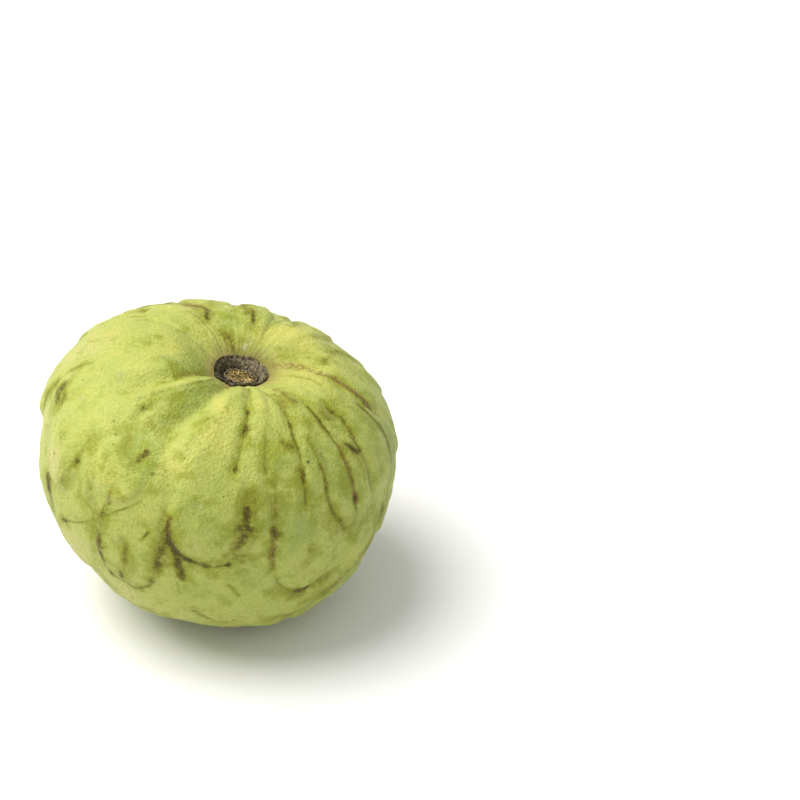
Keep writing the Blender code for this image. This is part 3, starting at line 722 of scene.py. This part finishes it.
class Wire:
    """An output socket in a material. Sums and products of wires and numbers add Math nodes to its tree."""

    def __init__(self, tree, socket=None):
        self.tree = tree
        self.socket = socket

    def node(self, kind, settings, inputs, output=0):
        """Any node: its settings come first, then each input, by name or number, gets a value or a wire."""
        made = self.tree.nodes.new(kind)
        for name, value in settings.items():
            setattr(made, name, value)
        for key, value in inputs.items():
            if isinstance(value, Wire):
                self.tree.links.new(value.socket, made.inputs[key])
            else:
                made.inputs[key].default_value = value
        return Wire(self.tree, made.outputs[output])

    def math(self, operation, *values):
        return self.node("ShaderNodeMath", {"operation": operation}, dict(enumerate(values)))

    def __add__(self, other):
        return self.math("ADD", self, other)

    def __radd__(self, other):
        return self.math("ADD", other, self)

    def __sub__(self, other):
        return self.math("SUBTRACT", self, other)

    def __rsub__(self, other):
        return self.math("SUBTRACT", other, self)

    def __mul__(self, other):
        return self.math("MULTIPLY", self, other)

    def __rmul__(self, other):
        return self.math("MULTIPLY", other, self)

    def __abs__(self):
        return self.math("ABSOLUTE", self)

    def most(self, other):
        """The larger of the two."""
        return self.math("MAXIMUM", self, other)

    def step(self, low, high):
        """Smooth step from 0 at low to 1 at high, or the other way round where low is the larger."""
        settings = {"interpolation_type": "SMOOTHSTEP"}
        ends = {"From Min": low, "From Max": high}
        if low > high:
            ends = {"From Min": high, "From Max": low, "To Min": 1.0, "To Max": 0.0}
        return self.node("ShaderNodeMapRange", settings, {"Value": self, **ends})

    def blend(self, below, above):
        """The colour below where this is 0, and the colour above where it is 1."""
        below, above = ((*c, 1.0) if isinstance(c, tuple) else c for c in (below, above))
        return self.node("ShaderNodeMix", {"data_type": "RGBA"}, {0: self, 6: below, 7: above}, 2)

    def ramp(self, stops):
        """Colours at the given levels of this value, blended between them."""
        made = self.node("ShaderNodeValToRGB", {}, {"Fac": self})
        elements = made.socket.node.color_ramp.elements
        while len(elements) < len(stops):
            elements.new(0.5)
        for element, (level, tone) in zip(elements, stops):
            element.position = level
            element.color = (*tone, 1.0)
        return made

    def noise(self, size, detail=2.0, roughness=0.5, distortion=0.0):
        """Cloudy noise from 0 to 1 over this vector, with lumps of about that size."""
        values = {"Vector": self, "Scale": 1 / size, "Detail": detail, "Roughness": roughness}
        return self.node("ShaderNodeTexNoise", {}, {**values, "Distortion": distortion})

    def cells(self, size, feature="F1"):
        """Distance to the nearest of scattered points over this vector, about that far apart."""
        values = {"Vector": self, "Scale": 1 / size}
        return self.node("ShaderNodeTexVoronoi", {"feature": feature}, values)

    def scaled(self, factor):
        """This vector times a number."""
        return self.node("ShaderNodeVectorMath", {"operation": "SCALE"}, {0: self, "Scale": factor})

    def stored(self, name, output="Fac"):
        """A value that the mesh keeps for each point."""
        return self.node("ShaderNodeAttribute", {"attribute_name": name}, {}, output)


def new_material(name, piece):
    """A material on the piece, its principled shader, and a wire to start from: the place in millimetres."""
    material = bpy.data.materials.new(name)
    material.use_nodes = True
    piece.data.materials.clear()
    piece.data.materials.append(material)
    tree = material.node_tree
    place = Wire(tree).node("ShaderNodeTexCoord", {}, {}, "Object").scaled(1000.0)
    return tree.nodes["Principled BSDF"], place


def plug(shader, **inputs):
    """Sets sockets of the shader by name, with _ for a space: a value, or a wire that is linked."""
    for name, value in inputs.items():
        socket = shader.inputs[name.replace("_", " ")]
        if isinstance(value, Wire):
            value.tree.links.new(value.socket, socket)
        else:
            socket.default_value = value


# Colours of the skin, from its greenest to the marks on it; SKIN_SHADE is painted shade in the hollow
SKIN_GREEN = (0.238, 0.315, 0.056)
SKIN_MIDDLE = (0.370, 0.412, 0.088)
SKIN_YELLOW = (0.500, 0.482, 0.108)
SKIN_BLUSH = (0.560, 0.480, 0.210)
SKIN_MOSS = (0.225, 0.255, 0.010)
SKIN_OLIVE = (0.160, 0.142, 0.004)
SKIN_BROWN = (0.068, 0.050, 0.003)
SKIN_RUST = (0.210, 0.110, 0.030)
SKIN_GREY = (0.260, 0.280, 0.140)
SKIN_SHADE = (0.150, 0.120, 0.018)
SKIN_TAN = (0.500, 0.360, 0.150)
SKIN_CORK = (0.520, 0.480, 0.340)
BLOSSOM_BROWN = (0.085, 0.055, 0.026)

shader, place = new_material("cherimoya_skin", fruit)
streaks = place.stored("round_way", "Vector")
cloud = place.noise(11.0, 3.0, 0.55)
patch = place.noise(4.2, 3.0, 0.6)
ragged = place.noise(1.5, 4.0, 0.65) - 0.5
grain = place.noise(0.62, 2.0, 0.6)
radial = streaks.noise(7.5, 4.0, 0.60, 0.4)
from_stem = place.stored("from_stem")

# Ground colour: green to yellow in soft clouds, with a fine grain of both; some bells paint light and shade
yellow_and_light_amount = place.stored("yellow_and_light") + (cloud - 0.5) * 1.6 + (patch - 0.5) * 0.9 + ragged * 0.3
yellow_and_light_amount = yellow_and_light_amount.step(0.10, 0.95)
green_and_shade_amount = place.stored("green_and_shade") + (0.5 - cloud) * 1.4 + (patch - 0.5) * 1.3 + ragged * 0.5
green_and_shade_amount = green_and_shade_amount.step(0.10, 0.85)
colour = yellow_and_light_amount.blend(SKIN_MIDDLE, SKIN_YELLOW)
colour = (green_and_shade_amount * 0.85).blend(colour, SKIN_GREEN)
blush = (place.stored("blush") + (patch - 0.5) * 0.9 + ragged * 0.3).step(0.15, 0.95)
colour = (blush * 0.65).blend(colour, SKIN_BLUSH)
# Moss clouds round the stains, which also spread the painted shade on the ridge's face and in the valley
# behind it
halo_and_shade = place.stored("halo_and_shade")
moss_and_shade = halo_and_shade + (place.noise(8.5, 5.0, 0.65) - 0.5) * 2.3 + (patch - 0.5) * 1.4 + ragged * 1.0
moss_and_shade = moss_and_shade.step(0.02, 0.80)
colour = (moss_and_shade * 0.85).blend(colour, SKIN_MOSS)
colour = (grain.step(0.48, 0.66) * 0.36).blend(colour, SKIN_YELLOW)
colour = (grain.step(0.52, 0.34) * 0.40).blend(colour, SKIN_GREEN)
grey = (place.noise(7.0, 3.0, 0.6) + ragged * 0.3).step(0.60, 0.78)
colour = (grey * 0.30).blend(colour, SKIN_GREY)

# Round the stem the skin turns tan, olive streaks run out of the hollow, and painted shade with brown
# staining darkens its back
behind = place.stored("behind_stem")
streaky = radial.step(0.44, 0.66) * from_stem.step(27.0, 9.0)
colour = (streaky * (0.10 + behind * 0.42)).blend(colour, SKIN_OLIVE)
# Painted shade, partly real brown staining: the back wall of the hollow darkens towards the stem.
shade = (from_stem + radial * 16.0).step(24.0, 11.0) * behind
colour = (shade * 0.74).blend(colour, SKIN_SHADE)
# Tan at the seat in front of the stem, and painted shade at the seat behind it.
tan_and_shade = (from_stem + ragged * 4.0 - radial * 5.0).step(9.0, 5.4)
colour = (tan_and_shade * 0.60).blend(colour, behind.blend(SKIN_TAN, SKIN_SHADE))

# Olive stains with browner hearts, shade painted by the ridge, pads' outlines and thin dark lines in the
# creases
fuzz = ragged * 1.5 + (patch - 0.5) * 0.9 + (grain - 0.5) * 1.0
smudge_and_shade = place.stored("stain_and_shade") + fuzz * halo_and_shade * 0.9
stain_and_shade_amount = smudge_and_shade.step(0.18, 0.78)
hearts = smudge_and_shade.step(0.46, 1.04)
rim_amount = (place.stored("pad_rim") + ragged * 3.0).step(2.3, 0.0) * place.stored("rim_strength")
rim_amount = rim_amount * place.noise(9.0, 2.0).step(0.34, 0.58)
wander = (place.noise(3.5, 2.0) - 0.5) * 2.6
line_edge = abs(place.stored("line_side") + wander).most(place.stored("line_away") - 1.6)
line_strength = place.stored("line_strength")
line_halo = (line_edge + ragged * 4.0).step(5.0, 0.4) * line_strength
line_heart = (line_edge + ragged * 3.0).step(1.7, 0.2) * line_strength
line_heart = line_heart * ((place.noise(4.0, 3.0) + ragged * 0.5).step(0.36, 0.62) * 0.85 + 0.15)
colour = (rim_amount.most(line_halo) * 0.75).blend(colour, SKIN_MOSS)
colour = (stain_and_shade_amount.most(line_heart) * 0.80).blend(colour, SKIN_OLIVE)
colour = hearts.most(line_heart * 0.60).blend(colour, SKIN_BROWN)
rusty = (place.stored("rust") + (place.noise(0.55, 2.0, 0.6) - 0.5) * 3.6 + ragged * 2.5).step(0.60, 1.20)
colour = (rusty * place.stored("rust").step(0.10, 0.45) * 0.75).blend(colour, SKIN_RUST)

# Round spots, scattered specks and the scar at the blossom end
spot_amount = (place.stored("spot") + ragged * 0.5).step(0.25, 0.70)
colour = (spot_amount * 0.8).blend(colour, SKIN_BROWN)
specks = (place.cells(3.4) + ragged * 0.12).step(0.10, 0.04) * place.noise(12.0, 2.0).step(0.45, 0.6)
colour = (specks * 0.65).blend(colour, SKIN_BROWN)
fleck = (place.stored("fleck") + (grain - 0.5) * 1.5).step(0.35, 0.75)
colour = (fleck * 0.40).blend(colour, SKIN_CORK)
blossom = (place.stored("from_blossom") + ragged * 2.0).step(3.4, 1.6)
colour = (blossom * 0.9).blend(colour, BLOSSOM_BROWN)

# Fine pebbles and wrinkles
pebbles = place.cells(0.80, "SMOOTH_F1")
wrinkle = streaks.noise(1.6, 4.0, 0.65, 0.5)
height = pebbles * 0.55 + grain * 0.60 + wrinkle * 0.45 + place.noise(2.2, 3.0, 0.6) * 0.30
height = height - line_heart * 0.35 - spot_amount * 0.2
bump = place.node("ShaderNodeBump", {}, {"Strength": 0.80, "Distance": 0.0005, "Height": height})
roughness = 0.55 + stain_and_shade_amount * 0.08 + (patch - 0.5) * 0.15
plug(shader, Base_Color=colour, Roughness=roughness, Normal=bump, Specular_IOR_Level=0.24, Sheen_Weight=0.03)
plug(shader, Sheen_Roughness=0.5, Sheen_Tint=(0.9, 0.95, 0.6, 1.0))
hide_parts("fruit")
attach(fruit, "root")

# Stem stub
# What is left of the woody stalk: a ragged corky collar that lines the well, a dark groove where the stalk
# broke away, and its pitted, tan, cut face. It has grown into the fruit.
CLEARANCE = 0.0003
STUB_FOOT_RADIUS = 0.0040
STUB_NECK_RADIUS = 0.00505
STUB_COLLAR_RADIUS = 0.0074
STUB_LIP_WIDTH = 0.0005
STUB_GROOVE_RADIUS = 0.0048
STUB_RING_RADIUS = 0.0044
STUB_DISC_RADIUS = 0.0039
STUB_LIP_RISE = 0.0004
STUB_COLLAR_GAP = 0.0004
STUB_WALL_GAP = 0.00065
STUB_GROOVE_DEPTH = 0.0004
STUB_DISC_RISE = 0.0009
STUB_FACE_SLANT = 0.11
STUB_FACE_ASIDE = 0.0003
STUB_FACE_AHEAD = 0.0007
STUB_SEGMENTS = 240
STUB_STEPS = 9
STUB_PIT_DEPTH = 0.00026
BARK_TONES = [(0.0, (0.022, 0.017, 0.008)), (0.5, (0.060, 0.047, 0.024)), (1.0, (0.17, 0.14, 0.082))]
FACE_TONES = [(0.0, (0.030, 0.020, 0.006)), (0.35, (0.14, 0.095, 0.028)), (0.70, (0.36, 0.25, 0.085)),
              (1.0, (0.60, 0.48, 0.24))]
GROOVE_TONE = (0.030, 0.028, 0.014)
NET_TONE = (0.42, 0.36, 0.24)


def stub_profile(longitude):
    """Rings of the stub as radius and height: tapered plug, collar that lines the well, groove and face."""
    ragged = 0.45 * np.sin(5 * longitude + 0.6) + 0.35 * np.sin(9 * longitude + 2.1)
    ragged = (ragged + 0.25 * np.sin(14 * longitude + 4.0)) / 1000
    even = np.zeros(longitude.shape)
    edge = skin_level(longitude, SEAT_RADIUS)
    lower_wall = skin_level(longitude, SEAT_RADIUS + 0.3 * (STUB_COLLAR_RADIUS - SEAT_RADIUS))
    upper_wall = skin_level(longitude, SEAT_RADIUS + 0.7 * (STUB_COLLAR_RADIUS - SEAT_RADIUS))
    collar = skin_level(longitude, STUB_COLLAR_RADIUS) + STUB_COLLAR_GAP
    lip = collar + STUB_LIP_RISE + 0.3 * ragged
    slant = STUB_FACE_SLANT * (np.cos(longitude) + np.sin(longitude))
    aside = STUB_FACE_ASIDE * np.sin(longitude) + STUB_FACE_AHEAD * np.cos(longitude)
    face = edge.mean() + STUB_DISC_RISE
    groove = face + slant * STUB_GROOVE_RADIUS - STUB_GROOVE_DEPTH
    return [
        (even + STUB_FOOT_RADIUS, even + SEAT_FLOOR + CLEARANCE),
        (even + STUB_NECK_RADIUS, edge + 0.2 * CLEARANCE),
        (even + SEAT_RADIUS + 0.3 * (STUB_COLLAR_RADIUS - SEAT_RADIUS), lower_wall + STUB_WALL_GAP),
        (even + SEAT_RADIUS + 0.7 * (STUB_COLLAR_RADIUS - SEAT_RADIUS), upper_wall + STUB_WALL_GAP),
        (even + STUB_COLLAR_RADIUS, collar),
        (STUB_COLLAR_RADIUS + 0.2 * ragged, lip),
        (STUB_COLLAR_RADIUS - STUB_LIP_WIDTH + 0.1 * ragged, lip + 0.1 * ragged),
        (0.5 * STUB_COLLAR_RADIUS + 0.5 * STUB_GROOVE_RADIUS + 0.1 * ragged, 0.55 * lip + 0.45 * groove),
        (STUB_GROOVE_RADIUS + 0.2 * ragged + aside, groove + even),
        (STUB_RING_RADIUS + 0.2 * ragged + aside, face + slant * STUB_RING_RADIUS + 0.0002 + 0.2 * ragged),
        (STUB_DISC_RADIUS + 0.2 * ragged + aside, face + slant * STUB_DISC_RADIUS - 0.0001 + 0.1 * ragged),
        (0.5 * STUB_DISC_RADIUS + 0.2 * ragged + aside, face + slant * 0.5 * STUB_DISC_RADIUS - 0.3 * ragged),
        (0.15 * STUB_DISC_RADIUS + 0.1 * ragged + aside, face + even - 0.0002),
    ]


def pitting(points):
    """Sum of short plane waves whose hollows are deeper than their crests are high: -(|wave sum|)^1.5."""
    chance = np.random.default_rng(SEED + 2)
    total = np.zeros(points.shape[:-1])
    for index in range(40):
        heading = chance.normal(size=3)
        heading *= 2 * np.pi / (0.0007 + 0.0012 * index / 40) / np.linalg.norm(heading)
        total += np.sin(points @ heading + chance.uniform(0, 2 * np.pi))
    return -np.abs(total / 5)**1.5


stub_turn = np.linspace(-np.pi, np.pi, STUB_SEGMENTS, endpoint=False)
profile = stub_profile(stub_turn)
coarse = np.array([np.stack([r * np.sin(stub_turn), -r * np.cos(stub_turn), z], -1) for r, z in profile])
share = np.linspace(0, len(coarse) - 1, (len(coarse) - 1) * STUB_STEPS + 1)
lower = np.minimum(share.astype(int), len(coarse) - 2)
part_way = (share - lower)[:, None, None]
stub = coarse[lower] * (1 - part_way) + coarse[lower + 1] * part_way
on_top = smooth((share - 4.6) / 0.8)[:, None]
stub[..., 2] += on_top * STUB_PIT_DEPTH * (pitting(stub) + 0.3)
stub_foot = np.array([[0, 0, SEAT_FLOOR + CLEARANCE]])
stub_face = np.array([[0, 0, stub[-1, :, 2].mean()]])
stub_rings, stub_face, stub_foot = (points @ lean.T + shift for points in (stub[::-1], stub_face, stub_foot))
stem_stub = closed_rings("stem_stub_wood", stub_rings, stub_face, stub_foot)
stub_share = np.concatenate([np.repeat(share[::-1], STUB_SEGMENTS), [share[-1], 0]])
store(stem_stub, "along_profile", stub_share)
# Painted light: the stub's bark and its pale threads are lighter on one side and darker on the other.
side_light = 0.5 + 0.5 * np.sin(np.tile(stub_turn, len(share)) - np.radians(20))
store(stem_stub, "lit_side", np.concatenate([side_light, [0.5, 0.5]]))

shader, place = new_material("stem_stub_wood", stem_stub)
along = place.stored("along_profile")
fibres = place.noise(1.2, 4.0, 0.65, 0.6)
threads = abs(place.noise(1.9, 1.0, 0.4, 1.6) - 0.5).step(0.045, 0.010)
lit_side = place.stored("lit_side")
# Bark with its fibres and pale threads, and painted light and shade across it.
lit_and_shaded_bark = ((fibres - 0.5) * 2.2 + 0.24 + lit_side * 0.52).ramp(BARK_TONES)
lit_and_shaded_bark = (threads * (0.22 + lit_side * 0.68)).blend(lit_and_shaded_bark, NET_TONE)
face = ((place.noise(1.3, 4.0, 0.65, 0.8) - 0.5) * 3.2 + 0.38 + threads * 0.45).ramp(FACE_TONES)
wavy = (fibres - 0.5) * 1.2
colour = (along + wavy).step(9.5, 10.1).blend(lit_and_shaded_bark, face)
groove_here = (along + wavy).step(7.4, 7.9) * (along + wavy).step(8.9, 8.3)
inner_line = (along + wavy).step(9.3, 9.6) * (along + wavy).step(10.1, 9.8)
colour = (groove_here * 0.85).most(inner_line * 0.7).blend(colour, GROOVE_TONE)
ring_here = (along + wavy).step(8.6, 8.9) * (along + wavy).step(9.4, 9.1)
rim_line = (along + wavy).step(6.3, 6.6) * (along + wavy).step(7.1, 6.8)
colour = (ring_here * 0.60).most(rim_line * 0.35).blend(colour, NET_TONE)
height = fibres * 0.8 + threads * 0.3 + place.noise(0.4, 3.0) * 0.3 - groove_here * 0.5
bump = place.node("ShaderNodeBump", {}, {"Strength": 1.0, "Distance": 0.0005, "Height": height})
plug(shader, Base_Color=colour, Roughness=0.92, Normal=bump, Specular_IOR_Level=0.10)
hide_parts("stem_stub")
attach(stem_stub, "root")

# Floor
# A plain, pale, matt table top under the fruit, wide enough that its edge never shows.
FLOOR_HALF = 2.5
FLOOR_COLOUR = (0.86, 0.86, 0.86, 1.0)
corner = np.array([[-1, -1, 0], [1, -1, 0], [1, 1, 0], [-1, 1, 0]]) * FLOOR_HALF
floor_mesh = bpy.data.meshes.new("floor")
floor_mesh.from_pydata(corner.tolist(), [], [(0, 1, 2, 3)])
floor = bpy.data.objects.new("floor", floor_mesh)
bpy.context.scene.collection.objects.link(floor)
shader, place = new_material("floor_matt", floor)
plug(shader, Base_Color=FLOOR_COLOUR, Roughness=0.9, Specular_IOR_Level=0.1)

# Light
# Soft daylight from everywhere, and one large soft box at the upper left, a little in front.
SKY_COLOUR = (1.0, 1.0, 1.0)
SKY_STRENGTH = 0.60
LAMPS = [
    ("key", (-0.70, 0.06, 1.35), 1.5, 34.0, (1.0, 0.985, 0.95)),
    ("fill", (1.1, -0.9, 0.8), 1.2, 1.0, (1.0, 1.0, 1.0)),
]
world = bpy.data.worlds.new("studio")
world.use_nodes = True
world.node_tree.nodes["Background"].inputs["Color"].default_value = (*SKY_COLOUR, 1.0)
world.node_tree.nodes["Background"].inputs["Strength"].default_value = SKY_STRENGTH
bpy.context.scene.world = world
for name, spot, size, power, tint in LAMPS:
    light = bpy.data.lights.new(name, "AREA")
    light.shape = "DISK"
    light.size = size
    light.energy = power
    light.color = tint
    lamp = bpy.data.objects.new(name, light)
    bpy.context.scene.collection.objects.link(lamp)
    toward = np.array([0, 0, 0.045]) - np.array(spot)
    lamp.location = spot
    off_plumb = np.arctan2(np.hypot(toward[0], toward[1]), -toward[2])
    lamp.rotation_euler = (off_plumb, 0, np.arctan2(-toward[0], toward[1]))

# Camera
# It looks down on the fruit from the photograph's height and distance, with the fruit left of the middle.
CAMERA_DOWN = 34.0
CAMERA_DISTANCE = 1.0
PIXELS_PER_METRE_AT_FRUIT = 3560.0
PICTURE_SIDE = 800.0
FRUIT_LEFT_OF_MIDDLE = 0.05140
FRUIT_BELOW_MIDDLE = 0.01219
SENSOR = 36.0
camera_data = bpy.data.cameras.new("camera")
camera_data.sensor_width = SENSOR
camera_data.lens = SENSOR * PIXELS_PER_METRE_AT_FRUIT * CAMERA_DISTANCE / PICTURE_SIDE
camera = bpy.data.objects.new("camera", camera_data)
bpy.context.scene.collection.objects.link(camera)
down = np.radians(CAMERA_DOWN)
forward = np.array([0, np.cos(down), -np.sin(down)])
upward = np.array([0, np.sin(down), np.cos(down)])
right = np.array([1.0, 0, 0])
looked_at = shift + FRUIT_LEFT_OF_MIDDLE * right + FRUIT_BELOW_MIDDLE * upward
camera.location = looked_at - CAMERA_DISTANCE * forward
camera.rotation_euler = (np.pi / 2 - down, 0, 0)
bpy.context.scene.camera = camera
bpy.context.scene.view_settings.view_transform = "Standard"
